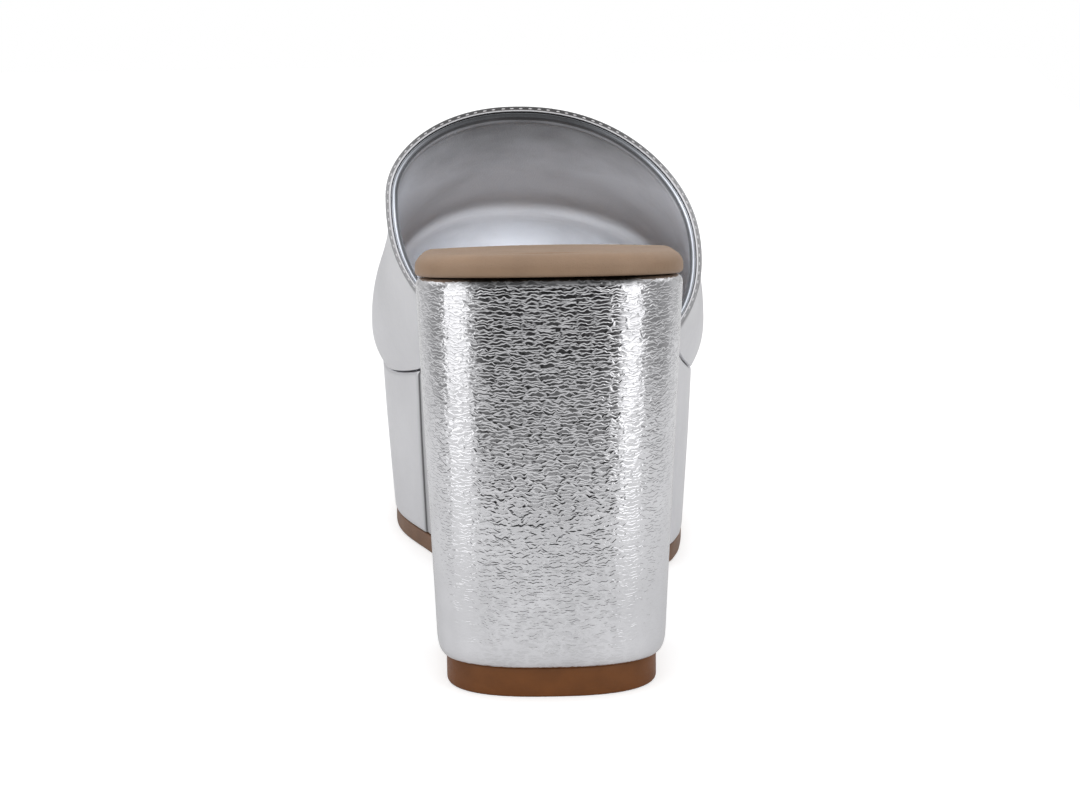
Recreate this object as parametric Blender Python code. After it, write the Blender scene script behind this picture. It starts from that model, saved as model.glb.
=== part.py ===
"""Platform mule for a right foot, standing on its heel and forefoot.

The toe points along +Y, the outer (little toe) side is +X and +Z is up.
Stations are distances forward from the back of the insole.
"""

import math

import bmesh
import bpy

# Driving sizes of the last, in metres
SHOE_LENGTH = 0.240
SEAT_WIDTH = 0.0632
WAIST_WIDTH = 0.0525
BALL_WIDTH = 0.0775
BALL_HEIGHT = 0.047
SEAT_HEIGHT = 0.1026
TOE_RISE = 0.008
INSTEP_RISE = 0.065
HEEL_ROUND = 0.025
TOE_ROUND = 0.047
TOE_TOP_ROUND = 0.034

# Driving sizes of the upper
WALL = 0.003
THROAT_STATION = 0.111
THROAT_LEAN_INNER = 0.019
THROAT_LEAN_OUTER = 0.015
RIM_ROLL = 0.0009
TOE_BULGE = 0.0022

# Driving sizes of the insole
INSOLE_THICKNESS = 0.0055
INSOLE_TOP_ROUND = 0.0034
INSOLE_FOOT_ROUND = 0.0007

# Driving sizes of the platform and its covered waist
PLATFORM_REAR = 0.107
PLATFORM_TAPER = 0.0026
PLATFORM_EDGE_ROUND = 0.0008
PLATFORM_CORNER = 0.0095
WAIST_THICKNESS = 0.0058
WAIST_REACH = 0.017
WAIST_SINK = 0.0014
WAIST_SINK_RUN = 0.0068
WAIST_DIP_RUN = 0.0048

# Driving sizes of the outsole
OUTSOLE_THICKNESS = 0.0050
OUTSOLE_SETBACK = 0.0003
OUTSOLE_EDGE_ROUND = 0.0008
TOE_SPRING = 0.010
SPRING_STATION = 0.172

# Driving sizes of the heel and its top lift
HEEL_BREAST_TOP = 0.0615
HEEL_BREAST_FOOT = 0.0505
HEEL_BACK_FOOT = 0.0028
HEEL_FOOT_WIDTH = 0.0545
HEEL_FOOT_SIDE = -0.0005
HEEL_FOOT_ROUND = 0.0185
HEEL_CORNER = 0.004
HEEL_TUCK = 0.0014
HEEL_TUCK_RISE = 0.0044
HEEL_EDGE_ROUND = 0.0007
HEEL_EDGE_DROP = 0.0014
LIFT_THICKNESS = 0.0075
LIFT_SETBACK = 0.0020
LIFT_EDGE_ROUND = 0.0006

# Clearance between pieces that touch
GAP = 0.0003

# How square the rounded ends are, as the power of a superellipse
HEEL_POWER = 2.6
TOE_POWER = 2.45
TOE_TOP_POWER = 2.2
RIDGE_POWER = 2.1
TOE_WALL_SHARE = 0.42

# How the topline leans back as it drops, and how the sole rises to the toe, as powers
LEAN_POWER = 0.9
SPRING_POWER = 1.8

# Part of a rounded edge's radius by which its middle lies in from the corner
ROUND_MIDDLE = 0.3

# Points nearer than this are one point, and edges sharper than this stay sharp
MERGE_DISTANCE = 0.000002
SHARP_ANGLE = math.radians(35.0)

# How finely the pieces are divided
UPPER_STATIONS = 24
UPPER_LOWER_STEPS = 5
UPPER_ARCH_STEPS = 10
INSOLE_STATIONS = 38
PLATFORM_STATIONS = 34
WAIST_STATIONS = 16
OUTSOLE_STATIONS = 30
HEEL_STATIONS = 22

# Underside of the insole from the side: station, part of the drop from seat to ball, part of the toe's rise
PROFILE_COLUMNS = ("station", "drop", "rise")
PROFILE = (
    (0.000, 1.000, 0.000),
    (0.104, 0.922, 0.000),
    (0.188, 0.864, 0.000),
    (0.250, 0.782, 0.000),
    (0.333, 0.582, 0.000),
    (0.417, 0.345, 0.000),
    (0.500, 0.127, 0.000),
    (0.583, 0.018, 0.000),
    (0.646, 0.000, 0.000),
    (0.750, 0.000, 0.060),
    (0.875, 0.000, 0.375),
    (1.000, 0.000, 1.000),
)

# Insole from above: station, the width that the row follows, part of it on the inner and on the outer side
OUTLINE_COLUMNS = ("station", "inner", "outer")
OUTLINE = (
    (0.000, SEAT_WIDTH, 0.497, 0.497),
    (0.090, SEAT_WIDTH, 0.500, 0.500),
    (0.188, SEAT_WIDTH, 0.480, 0.492),
    (0.260, SEAT_WIDTH, 0.421, 0.482),
    (0.335, WAIST_WIDTH, 0.426, 0.571),
    (0.400, WAIST_WIDTH, 0.404, 0.602),
    (0.465, WAIST_WIDTH, 0.477, 0.624),
    (0.520, BALL_WIDTH, 0.381, 0.463),
    (0.600, BALL_WIDTH, 0.480, 0.486),
    (0.645, BALL_WIDTH, 0.512, 0.484),
    (0.700, BALL_WIDTH, 0.519, 0.468),
    (0.770, BALL_WIDTH, 0.511, 0.435),
    (0.870, BALL_WIDTH, 0.484, 0.385),
    (1.000, BALL_WIDTH, 0.440, 0.330),
)

# Upper across the foot: the ridge's side and rise, how far each side swells past its foot, how high it does so
# as parts of the ball width and the instep's rise, and how round the tuck under each side is
UPPER_COLUMNS = ("station", "ridge", "rise", "swell_in", "swell_out", "level_in", "level_out", "tuck")
UPPER = (
    (0.360, -0.160, 0.780, 0.202, 0.080, 0.440, 0.190, 2.00),
    (0.400, -0.155, 0.875, 0.213, 0.077, 0.525, 0.255, 2.00),
    (0.433, -0.145, 0.953, 0.182, 0.074, 0.600, 0.325, 2.00),
    (0.463, -0.134, 1.006, 0.153, 0.065, 0.590, 0.290, 2.00),
    (0.520, -0.120, 0.982, 0.104, 0.050, 0.470, 0.215, 2.00),
    (0.604, -0.096, 0.874, 0.056, 0.037, 0.240, 0.150, 2.00),
    (0.688, -0.084, 0.720, 0.028, 0.031, 0.135, 0.130, 2.60),
    (0.771, -0.074, 0.585, 0.024, 0.027, 0.115, 0.115, 2.80),
    (0.854, -0.062, 0.474, 0.027, 0.028, 0.110, 0.110, 2.80),
    (0.938, -0.050, 0.385, 0.028, 0.028, 0.110, 0.110, 2.80),
    (1.000, -0.045, 0.330, 0.028, 0.028, 0.110, 0.110, 2.80),
)

# Side of the platform: part of its height and of its taper
PLATFORM_SIDE = ((0.04, 1.00), (0.30, 0.66), (0.62, 0.32), (1.00, 0.00))

# Finish of each piece: colour, metallic, roughness
SILVER = ((0.72, 0.72, 0.75, 1.0), 0.9, 0.34)
TAN = ((0.33, 0.22, 0.15, 1.0), 0.0, 0.55)
BROWN = ((0.19, 0.077, 0.033, 1.0), 0.0, 0.45)


def clear_scene():
    """Remove every object that the scene holds."""
    for thing in list(bpy.data.objects):
        bpy.data.objects.remove(thing, do_unlink=True)


def slope(table, row, column):
    """Slope of one column at a row, from the rows on both sides of it."""
    before = table[max(row - 1, 0)]
    after = table[min(row + 1, len(table) - 1)]
    return (after[column] - before[column]) / (after[0] - before[0])


def read(table, columns, station):
    """Named values of a table at a station, on smooth curves through its rows."""
    share = min(max(station / SHOE_LENGTH, table[0][0]), table[-1][0])
    row = max(i for i in range(len(table) - 1) if table[i][0] <= share)
    low, high = table[row], table[row + 1]
    span = high[0] - low[0]
    t = (share - low[0]) / span
    values = {}
    for column, name in enumerate(columns):
        rise = high[column] - low[column]
        start = slope(table, row, column) * span
        end = slope(table, row + 1, column) * span
        bend = (start - rise) * (1 - t) + (rise - end) * t
        values[name] = low[column] + rise * t + t * (1 - t) * bend
    return values


def widths(table):
    """The outline's rows as lengths: station share, inner and outer distance from the heel's axis."""
    return tuple((share, -width * inner, width * outer) for share, width, inner, outer in table)


def closing(distance, length, power):
    """Part of the full width left at a distance from a rounded end."""
    share = min(max(distance / length, 0.0), 1.0)
    return (1.0 - (1.0 - share) ** power) ** (1.0 / power)


def corner(distance, radius):
    """How far a side lies in from its straight line near a square end with rounded corners."""
    left = min(max(radius - distance, 0.0), radius)
    return radius - math.sqrt(radius**2 - left**2)


def blend(low, high, share):
    return low + (high - low) * share


def ease(share):
    share = min(max(share, 0.0), 1.0)
    return share * share * (3.0 - 2.0 * share)


def evenly_rounded(count):
    """Shares from 0 to 1 that lie close together at both ends."""
    return [(1.0 - math.cos(math.pi * i / count)) / 2.0 for i in range(count + 1)]


def last_bottom(station):
    """Height of the insole's underside."""
    row = read(PROFILE, PROFILE_COLUMNS, station)
    return BALL_HEIGHT + row["drop"] * (SEAT_HEIGHT - BALL_HEIGHT) + row["rise"] * TOE_RISE


def ground(station):
    """Height of the outsole's underside: flat under the ball, then rising to the toe."""
    share = max(station - SPRING_STATION, 0.0) / (SHOE_LENGTH - SPRING_STATION)
    return TOE_SPRING * share**SPRING_POWER


INSOLE_TIP = SHOE_LENGTH - TOE_BULGE - WALL - GAP
OUTLINE_LENGTHS = widths(OUTLINE)


def outline(station, outset):
    """Inner and outer x of the insole's outline, drawn out by outset, with its rounded toe."""
    row = read(OUTLINE_LENGTHS, OUTLINE_COLUMNS, station)
    middle = (row["inner"] + row["outer"]) / 2.0
    half = (row["outer"] - row["inner"]) / 2.0 + outset
    half *= closing(INSOLE_TIP + outset - station, TOE_ROUND, TOE_POWER)
    return middle - half, middle + half


def seat_outline(station, outset):
    """The same outline with its rounded heel."""
    inner, outer = outline(station, outset)
    middle = (inner + outer) / 2.0
    half = (outer - inner) / 2.0 * closing(station + outset, HEEL_ROUND, HEEL_POWER)
    return middle - half, middle + half


def finish_of(name, finish):
    """A material for one piece."""
    colour, metallic, roughness = finish
    material = bpy.data.materials.new(name)
    material.use_nodes = True
    shader = material.node_tree.nodes["Principled BSDF"]
    shader.inputs["Base Color"].default_value = colour
    shader.inputs["Metallic"].default_value = metallic
    shader.inputs["Roughness"].default_value = roughness
    material.diffuse_color = colour
    return material


def piece_of(name, shape, finish, shoe):
    """Turn a bmesh into a named object of the shoe."""
    bmesh.ops.remove_doubles(shape, verts=shape.verts, dist=MERGE_DISTANCE)
    bmesh.ops.recalc_face_normals(shape, faces=shape.faces)
    mesh = bpy.data.meshes.new(name)
    shape.to_mesh(mesh)
    shape.free()
    mesh.shade_smooth()
    mesh.set_sharp_from_angle(angle=SHARP_ANGLE)
    piece = bpy.data.objects.new(name, mesh)
    piece.data.materials.append(finish_of(name, finish))
    piece.parent = shoe
    bpy.context.scene.collection.objects.link(piece)
    return piece


def skin(rows, closed):
    """A bmesh with faces between each row of points and the next."""
    shape = bmesh.new()
    grid = [[shape.verts.new(point) for point in row] for row in rows]
    count = len(grid[0])
    for low, high in zip(grid, grid[1:]):
        for i in range(count if closed else count - 1):
            j = (i + 1) % count
            shape.faces.new((low[i], low[j], high[j], high[i]))
    return shape, grid


def block(contours, shares):
    """A solid from contours laid one above the other.

    A contour is a function that gives the inner and the outer point of its outline for a share of its
    length. At each share the points of all contours make one cross section of the solid.
    """
    rows = []
    for share in shares:
        pairs = [contour(share) for contour in contours]
        rows.append([pair[0] for pair in pairs] + [pair[1] for pair in reversed(pairs)])
    shape, grid = skin(rows, closed=True)
    for section in (grid[0], grid[-1]):
        for i in range(len(contours) - 1):
            shape.faces.new((section[i], section[i + 1], section[-2 - i], section[-1 - i]))
    return shape


def drop_flat_faces(shape):
    """Remove what a section of no width leaves behind."""
    bmesh.ops.remove_doubles(shape, verts=shape.verts, dist=MERGE_DISTANCE)
    bmesh.ops.dissolve_degenerate(shape, edges=shape.edges, dist=MERGE_DISTANCE)
    return shape


def upper_section(station, inset):
    """Values of the upper's cross section at a station, for the outside or, drawn in by inset, the inside."""
    outset = WALL + GAP - inset
    inner, outer = outline(station, outset)
    to_tip = INSOLE_TIP + outset - station
    width_left = closing(to_tip, TOE_ROUND, TOE_POWER)
    height_left = blend(TOE_WALL_SHARE, 1.0, closing(to_tip, TOE_TOP_ROUND, TOE_TOP_POWER))
    row = read(UPPER, UPPER_COLUMNS, station)
    foot = last_bottom(station)
    return {
        "inner": inner,
        "outer": outer,
        "foot": foot,
        "swell_in": row["swell_in"] * BALL_WIDTH * width_left,
        "swell_out": row["swell_out"] * BALL_WIDTH * width_left,
        "level_in": foot + row["level_in"] * INSTEP_RISE * height_left,
        "level_out": foot + row["level_out"] * INSTEP_RISE * height_left,
        "ridge": (inner + outer) / 2.0 + row["ridge"] * BALL_WIDTH * width_left,
        "top": foot + row["rise"] * INSTEP_RISE * height_left - inset,
        "tuck": row["tuck"],
        "forward": TOE_BULGE * math.sqrt(1.0 - width_left**2),
    }


def upper_point(station, inset, way):
    """A point of the upper: way runs from -2 at the inner foot over 0 at the ridge to 2 at the outer foot."""
    values = upper_section(station, inset)
    side = "in" if way < 0 else "out"
    foot_x = values["inner"] if way < 0 else values["outer"]
    swell = -values["swell_in"] if way < 0 else values["swell_out"]
    level = values["level_" + side]
    if abs(way) >= 1.0:
        down = abs(way) - 1.0
        held = 1.0 - down ** values["tuck"]
        x = foot_x + swell * held
        z = blend(level, values["foot"], down)
    else:
        turn = abs(way) * math.pi / 2.0
        held = 1.0
        x = values["ridge"] + (foot_x + swell - values["ridge"]) * math.sin(turn) ** (2.0 / RIDGE_POWER)
        z = level + (values["top"] - level) * math.cos(turn) ** (2.0 / RIDGE_POWER)
    return x, station + values["forward"] * held, z


def throat_station(way):
    """Station of the topline: furthest forward at the ridge, and further back as it comes down each side."""
    lean = THROAT_LEAN_INNER if way < 0 else THROAT_LEAN_OUTER
    station = THROAT_STATION - lean / 2.0
    values = upper_section(station, 0.0)
    height = upper_point(station, 0.0, way)[2]
    drop = (values["top"] - height) / (values["top"] - values["foot"])
    return THROAT_STATION - lean * max(drop, 0.0) ** LEAN_POWER


def upper_ways():
    """The ways round a cross section, from the inner foot to the outer foot."""
    lower = [2.0 - i / UPPER_LOWER_STEPS for i in range(UPPER_LOWER_STEPS)]
    arch = [1.0 - i / UPPER_ARCH_STEPS for i in range(UPPER_ARCH_STEPS)]
    half = lower + arch
    return [-way for way in half] + [0.0] + half[::-1]


def upper_row(share, inset, ways):
    """One row of the upper's points, from the topline at share 0 to the toe at share 1."""
    tip = INSOLE_TIP + WALL + GAP - inset
    run = math.sin(share * math.pi / 2.0)
    return [upper_point(blend(throat_station(way), tip, run), inset, way) for way in ways]


def make_upper(shoe):
    """The hollow vamp: outside, rolled topline and inside in one skin, closed along both feet."""
    ways = upper_ways()
    shares = [i / UPPER_STATIONS for i in range(UPPER_STATIONS + 1)]
    outside = [upper_row(share, 0.0, ways) for share in shares]
    inside = [upper_row(share, WALL, ways) for share in shares]
    lip = []
    for (x0, y0, z0), (x1, y1, z1) in zip(outside[0], inside[0]):
        lip.append(((x0 + x1) / 2.0, (y0 + y1) / 2.0 - RIM_ROLL, (z0 + z1) / 2.0))
    lip[0] = (lip[0][0], lip[0][1] + RIM_ROLL, last_bottom(lip[0][1] + RIM_ROLL))
    lip[-1] = (lip[-1][0], lip[-1][1] + RIM_ROLL, last_bottom(lip[-1][1] + RIM_ROLL))
    shape, grid = skin(outside[::-1] + [lip] + inside, closed=False)
    middle = UPPER_STATIONS + 1
    for end in (0, -1):
        for step in range(1, middle + 1):
            around = (grid[middle - step], grid[middle - step + 1], grid[middle + step - 1], grid[middle + step])
            corners = list(dict.fromkeys(row[end] for row in around))
            shape.faces.new(corners)
    return piece_of("upper", drop_flat_faces(shape), SILVER, shoe)


def insole_contour(inset, lift):
    """A contour of the insole, drawn in by inset, at a height above its underside."""

    def contour(share):
        station = blend(inset, INSOLE_TIP - inset, share)
        inner, outer = seat_outline(station, -inset)
        height = last_bottom(station) + lift
        return (inner, station, height), (outer, station, height)

    return contour


def make_insole(shoe):
    """The padded sock, with rounded edges, from the heel's back to the toe."""
    middle = INSOLE_TOP_ROUND * ROUND_MIDDLE
    contours = (
        insole_contour(INSOLE_FOOT_ROUND, 0.0),
        insole_contour(0.0, INSOLE_FOOT_ROUND),
        insole_contour(0.0, INSOLE_THICKNESS - INSOLE_TOP_ROUND),
        insole_contour(middle, INSOLE_THICKNESS - middle),
        insole_contour(INSOLE_TOP_ROUND, INSOLE_THICKNESS),
    )
    shape = block(contours, evenly_rounded(INSOLE_STATIONS))
    return piece_of("insole", drop_flat_faces(shape), TAN, shoe)


def platform_contour(height_share, inset):
    """A contour of the platform block, drawn in from the upper's foot, at a share of its height."""

    def contour(share):
        outset = WALL + GAP - inset
        start = PLATFORM_REAR - height_share * PLATFORM_TAPER
        station = blend(start, INSOLE_TIP + outset, share)
        inner, outer = outline(station, outset)
        cut = corner(station - start, PLATFORM_CORNER)
        bottom = ground(station) + OUTSOLE_THICKNESS
        height = blend(bottom, last_bottom(station) - GAP, height_share)
        return (inner + cut, station, height), (outer - cut, station, height)

    return contour


def breast(height):
    """Station of the heel's front face at a height."""
    share = (height - LIFT_THICKNESS) / (last_bottom(HEEL_BREAST_TOP) - LIFT_THICKNESS)
    return blend(HEEL_BREAST_FOOT, HEEL_BREAST_TOP, share)


def waist_contour(depth):
    """A contour of the covered waist, at a depth under the insole, from the heel into the platform."""

    def contour(share):
        start = breast(last_bottom(HEEL_BREAST_TOP) - depth) + GAP
        inside = PLATFORM_REAR + PLATFORM_CORNER
        station = blend(start, inside + WAIST_REACH, share)
        under_upper = ease((station - HEEL_BREAST_TOP) / (THROAT_STATION - THROAT_LEAN_INNER - HEEL_BREAST_TOP))
        sunk = WAIST_SINK * ease((station - inside) / WAIST_SINK_RUN)
        inner, outer = outline(station, (WALL + GAP) * under_upper - sunk)
        dip = WAIST_SINK * ease((station - PLATFORM_REAR) / WAIST_DIP_RUN)
        height = last_bottom(station) - GAP - depth - dip
        return (inner, station, height), (outer, station, height)

    return contour


def make_platform(shoe):
    """The wrapped forefoot block, joined with the waist that carries the insole back to the heel."""
    contours = [platform_contour(0.0, PLATFORM_TAPER + PLATFORM_EDGE_ROUND)]
    contours += [platform_contour(height, taper * PLATFORM_TAPER) for height, taper in PLATFORM_SIDE]
    shape = block(contours, evenly_rounded(PLATFORM_STATIONS))
    platform = piece_of("platform", drop_flat_faces(shape), SILVER, shoe)
    shares = [i / WAIST_STATIONS for i in range(WAIST_STATIONS + 1)]
    strap = block((waist_contour(WAIST_THICKNESS), waist_contour(0.0)), shares)
    waist = piece_of("waist_form", strap, SILVER, shoe)
    waist.hide_render = True
    waist.display_type = "WIRE"
    joined = platform.modifiers.new("waist", "BOOLEAN")
    joined.operation = "UNION"
    joined.object = waist
    return platform


def outsole_contour(height_share, inset):
    """A contour of the outsole, drawn in from the foot of the platform's side."""

    def contour(share):
        outset = WALL + GAP - PLATFORM_TAPER - OUTSOLE_SETBACK - inset
        start = PLATFORM_REAR + OUTSOLE_SETBACK + inset
        station = blend(start, INSOLE_TIP + outset, share)
        inner, outer = outline(station, outset)
        cut = corner(station - start, PLATFORM_CORNER)
        height = ground(station) + height_share * (OUTSOLE_THICKNESS - GAP)
        return (inner + cut, station, height), (outer - cut, station, height)

    return contour


def make_outsole(shoe):
    contours = (
        outsole_contour(0.0, OUTSOLE_EDGE_ROUND),
        outsole_contour(OUTSOLE_EDGE_ROUND / OUTSOLE_THICKNESS, OUTSOLE_EDGE_ROUND * ROUND_MIDDLE),
        outsole_contour(1.0, 0.0),
    )
    shape = block(contours, evenly_rounded(OUTSOLE_STATIONS))
    return piece_of("outsole", drop_flat_faces(shape), BROWN, shoe)


def heel_foot(share, inset):
    """Inner, outer x and station of the heel's outline at its foot."""
    start = HEEL_BACK_FOOT + inset
    end = HEEL_BREAST_FOOT - inset
    station = blend(start, end, share)
    half = HEEL_FOOT_WIDTH / 2.0 - inset
    half *= closing(station - start, HEEL_FOOT_ROUND, HEEL_POWER)
    half -= corner(end - station, HEEL_CORNER)
    return HEEL_FOOT_SIDE - half, HEEL_FOOT_SIDE + half, station


def heel_seat(share, inset):
    """Inner, outer x and station of the heel's outline under the insole."""
    end = HEEL_BREAST_TOP - inset
    station = blend(inset, end, share)
    inner, outer = seat_outline(station, -inset)
    cut = corner(end - station, HEEL_CORNER)
    return inner + cut, outer - cut, station


def heel_contour(height_share, inset):
    """A contour of the heel at a share of its height."""

    def contour(share):
        low = heel_foot(share, inset)
        high = heel_seat(share, inset)
        inner, outer, station = (blend(a, b, height_share) for a, b in zip(low, high))
        height = blend(LIFT_THICKNESS, last_bottom(high[2]) - GAP, height_share)
        return (inner, station, height), (outer, station, height)

    return contour


def make_heel(shoe):
    """The wrapped heel: wider and deeper towards the insole, with eased edges at both ends."""
    tuck = HEEL_TUCK_RISE / (SEAT_HEIGHT - LIFT_THICKNESS)
    drop = HEEL_EDGE_DROP / (SEAT_HEIGHT - LIFT_THICKNESS)
    contours = (
        heel_contour(0.0, HEEL_TUCK),
        heel_contour(tuck * ROUND_MIDDLE, HEEL_TUCK * ROUND_MIDDLE),
        heel_contour(tuck, 0.0),
        heel_contour(1.0 - drop, 0.0),
        heel_contour(1.0, HEEL_EDGE_ROUND),
    )
    return piece_of("heel", drop_flat_faces(block(contours, evenly_rounded(HEEL_STATIONS))), SILVER, shoe)


def lift_contour(height, inset):
    def contour(share):
        inner, outer, station = heel_foot(share, LIFT_SETBACK + inset)
        return (inner, station, height), (outer, station, height)

    return contour


def make_top_lift(shoe):
    """The walking piece under the heel."""
    edge = LIFT_EDGE_ROUND
    contours = (lift_contour(0.0, edge), lift_contour(edge, 0.0), lift_contour(LIFT_THICKNESS - GAP, 0.0))
    return piece_of("top_lift", drop_flat_faces(block(contours, evenly_rounded(HEEL_STATIONS))), BROWN, shoe)


def stand_on_origin(shoe, pieces):
    """Move the shoe so that the middle of its box, at the floor, is the origin."""
    points = [vertex.co for piece in pieces for vertex in piece.data.vertices]
    middle_x = (min(p.x for p in points) + max(p.x for p in points)) / 2.0
    middle_y = (min(p.y for p in points) + max(p.y for p in points)) / 2.0
    shoe.location = (-middle_x, -middle_y, 0.0)


def main():
    clear_scene()
    shoe = bpy.data.objects.new("shoe", None)
    bpy.context.scene.collection.objects.link(shoe)
    makers = (make_upper, make_insole, make_platform, make_outsole, make_heel, make_top_lift)
    pieces = [make(shoe) for make in makers]
    stand_on_origin(shoe, pieces)


main()
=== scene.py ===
"""Looks of a backless platform mule for a right foot.

The toe points along +Y, the outer (little toe) side is +X and +Z is up. Stations are distances forward
from the back of the insole, in metres.
"""

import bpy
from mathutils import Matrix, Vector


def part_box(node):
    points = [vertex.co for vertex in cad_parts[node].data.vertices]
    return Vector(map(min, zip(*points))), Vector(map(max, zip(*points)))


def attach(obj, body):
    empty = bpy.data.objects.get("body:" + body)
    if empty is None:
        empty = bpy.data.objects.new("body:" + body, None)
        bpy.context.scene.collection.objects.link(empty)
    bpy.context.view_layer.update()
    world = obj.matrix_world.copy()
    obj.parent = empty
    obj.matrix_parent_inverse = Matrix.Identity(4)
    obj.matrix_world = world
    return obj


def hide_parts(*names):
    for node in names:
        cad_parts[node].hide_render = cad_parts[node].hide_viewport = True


bl_info = {
    "name": "Platform mule",
    "version": (1, 0, 0),
    "blender": (4, 5, 0),
    "location": "View3D > Sidebar > Mule",
    "description": "Leather, lining, stitches, sock and soles of a backless platform mule",
    "category": "Object",
}

import math

import bmesh
import bpy
from mathutils import Matrix, Vector

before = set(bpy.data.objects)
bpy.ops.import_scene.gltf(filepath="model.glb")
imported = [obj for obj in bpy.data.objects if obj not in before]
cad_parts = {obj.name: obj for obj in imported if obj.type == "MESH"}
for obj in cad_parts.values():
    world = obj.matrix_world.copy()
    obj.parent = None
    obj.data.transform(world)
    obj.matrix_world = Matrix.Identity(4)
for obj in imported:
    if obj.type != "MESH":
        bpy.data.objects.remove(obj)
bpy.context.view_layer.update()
HEEL_LOW, HEEL_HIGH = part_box("heel")
AXIS = (HEEL_LOW[0] + HEEL_HIGH[0]) / 2.0
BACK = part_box("insole")[0][1]

SHOE_LENGTH = 0.240
SEAT_WIDTH = 0.0632
WAIST_WIDTH = 0.0525
BALL_WIDTH = 0.0775
BALL_HEIGHT = 0.047
SEAT_HEIGHT = 0.1026
TOE_RISE = 0.008
INSTEP_RISE = 0.065
HEEL_ROUND = 0.025
TOE_ROUND = 0.047
TOE_TOP_ROUND = 0.034
WALL = 0.003
THROAT_STATION = 0.111
THROAT_LEAN_INNER = 0.019
THROAT_LEAN_OUTER = 0.015
TOE_BULGE = 0.0022
INSOLE_THICKNESS = 0.0055
INSOLE_TOP_ROUND = 0.0034
PLATFORM_REAR = 0.107
PLATFORM_TAPER = 0.0026
PLATFORM_CORNER = 0.0095
WAIST_THICKNESS = 0.0058
WAIST_REACH = 0.017
WAIST_SINK = 0.0014
OUTSOLE_THICKNESS = 0.0050
OUTSOLE_SETBACK = 0.0003
TOE_SPRING = 0.010
SPRING_STATION = 0.172
HEEL_BREAST_TOP = 0.0615
HEEL_BREAST_FOOT = 0.0505
HEEL_BACK_FOOT = 0.0028
HEEL_FOOT_WIDTH = 0.0545
HEEL_FOOT_SIDE = -0.0005
HEEL_FOOT_ROUND = 0.0185
HEEL_CORNER = 0.004
HEEL_TUCK = 0.0014
HEEL_TUCK_RISE = 0.0044
LIFT_THICKNESS = 0.0075
LIFT_SETBACK = 0.0020
GAP = 0.0003
HEEL_POWER = 2.6
TOE_POWER = 2.45
TOE_TOP_POWER = 2.2
RIDGE_POWER = 2.1
TOE_WALL_SHARE = 0.42
LEAN_POWER = 0.9
SPRING_POWER = 1.8
INSOLE_TIP = SHOE_LENGTH - TOE_BULGE - WALL - GAP
MERGE_DISTANCE = 0.000004
SHARP_ANGLE = math.radians(50.0)

PROFILE_COLUMNS = ("station", "drop", "rise")
PROFILE = (
    (0.000, 1.000, 0.000),
    (0.104, 0.922, 0.000),
    (0.188, 0.864, 0.000),
    (0.250, 0.782, 0.000),
    (0.333, 0.582, 0.000),
    (0.417, 0.345, 0.000),
    (0.500, 0.127, 0.000),
    (0.583, 0.018, 0.000),
    (0.646, 0.000, 0.000),
    (0.750, 0.000, 0.060),
    (0.875, 0.000, 0.375),
    (1.000, 0.000, 1.000),
)

OUTLINE_COLUMNS = ("station", "inner", "outer")
OUTLINE = (
    (0.000, SEAT_WIDTH, 0.497, 0.497),
    (0.090, SEAT_WIDTH, 0.500, 0.500),
    (0.188, SEAT_WIDTH, 0.480, 0.492),
    (0.260, SEAT_WIDTH, 0.421, 0.482),
    (0.335, WAIST_WIDTH, 0.426, 0.571),
    (0.400, WAIST_WIDTH, 0.404, 0.602),
    (0.465, WAIST_WIDTH, 0.477, 0.624),
    (0.520, BALL_WIDTH, 0.381, 0.463),
    (0.600, BALL_WIDTH, 0.480, 0.486),
    (0.645, BALL_WIDTH, 0.512, 0.484),
    (0.700, BALL_WIDTH, 0.519, 0.468),
    (0.770, BALL_WIDTH, 0.511, 0.435),
    (0.870, BALL_WIDTH, 0.484, 0.385),
    (1.000, BALL_WIDTH, 0.440, 0.330),
)
OUTLINE_LENGTHS = tuple(
    (share, -width * inner, width * outer) for share, width, inner, outer in OUTLINE
)

UPPER_COLUMNS = ("station", "ridge", "rise", "swell_in", "swell_out", "level_in", "level_out", "tuck")
UPPER = (
    (0.360, -0.160, 0.780, 0.202, 0.080, 0.440, 0.190, 2.00),
    (0.400, -0.155, 0.875, 0.213, 0.077, 0.525, 0.255, 2.00),
    (0.433, -0.145, 0.953, 0.182, 0.074, 0.600, 0.325, 2.00),
    (0.463, -0.134, 1.006, 0.153, 0.065, 0.590, 0.290, 2.00),
    (0.520, -0.120, 0.982, 0.104, 0.050, 0.470, 0.215, 2.00),
    (0.604, -0.096, 0.874, 0.056, 0.037, 0.240, 0.150, 2.00),
    (0.688, -0.084, 0.720, 0.028, 0.031, 0.135, 0.130, 2.60),
    (0.771, -0.074, 0.585, 0.024, 0.027, 0.115, 0.115, 2.80),
    (0.854, -0.062, 0.474, 0.027, 0.028, 0.110, 0.110, 2.80),
    (0.938, -0.050, 0.385, 0.028, 0.028, 0.110, 0.110, 2.80),
    (1.000, -0.045, 0.330, 0.028, 0.028, 0.110, 0.110, 2.80),
)

# Side of the platform: share of its height and of its taper
PLATFORM_SIDE = ((0.0, 1.00), (0.30, 0.66), (0.62, 0.32), (1.00, 0.00))

# Inside of the upper behind its topline: distance from the topline and depth under the outside
LINING_RELIEF = (
    (0.0000, 0.00290),
    (0.0006, 0.00315),
    (0.0010, 0.00310),
    (0.0014, 0.00262),
    (0.0018, 0.00268),
    (0.0022, 0.00282),
    (0.0028, 0.00290),
    (0.0034, 0.00280),
    (0.0044, 0.00248),
    (0.0065, 0.00240),
)


def slope(table, row, column):
    """Slope of one column at a row, from the rows on both sides of it."""
    before = table[max(row - 1, 0)]
    after = table[min(row + 1, len(table) - 1)]
    return (after[column] - before[column]) / (after[0] - before[0])


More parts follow.
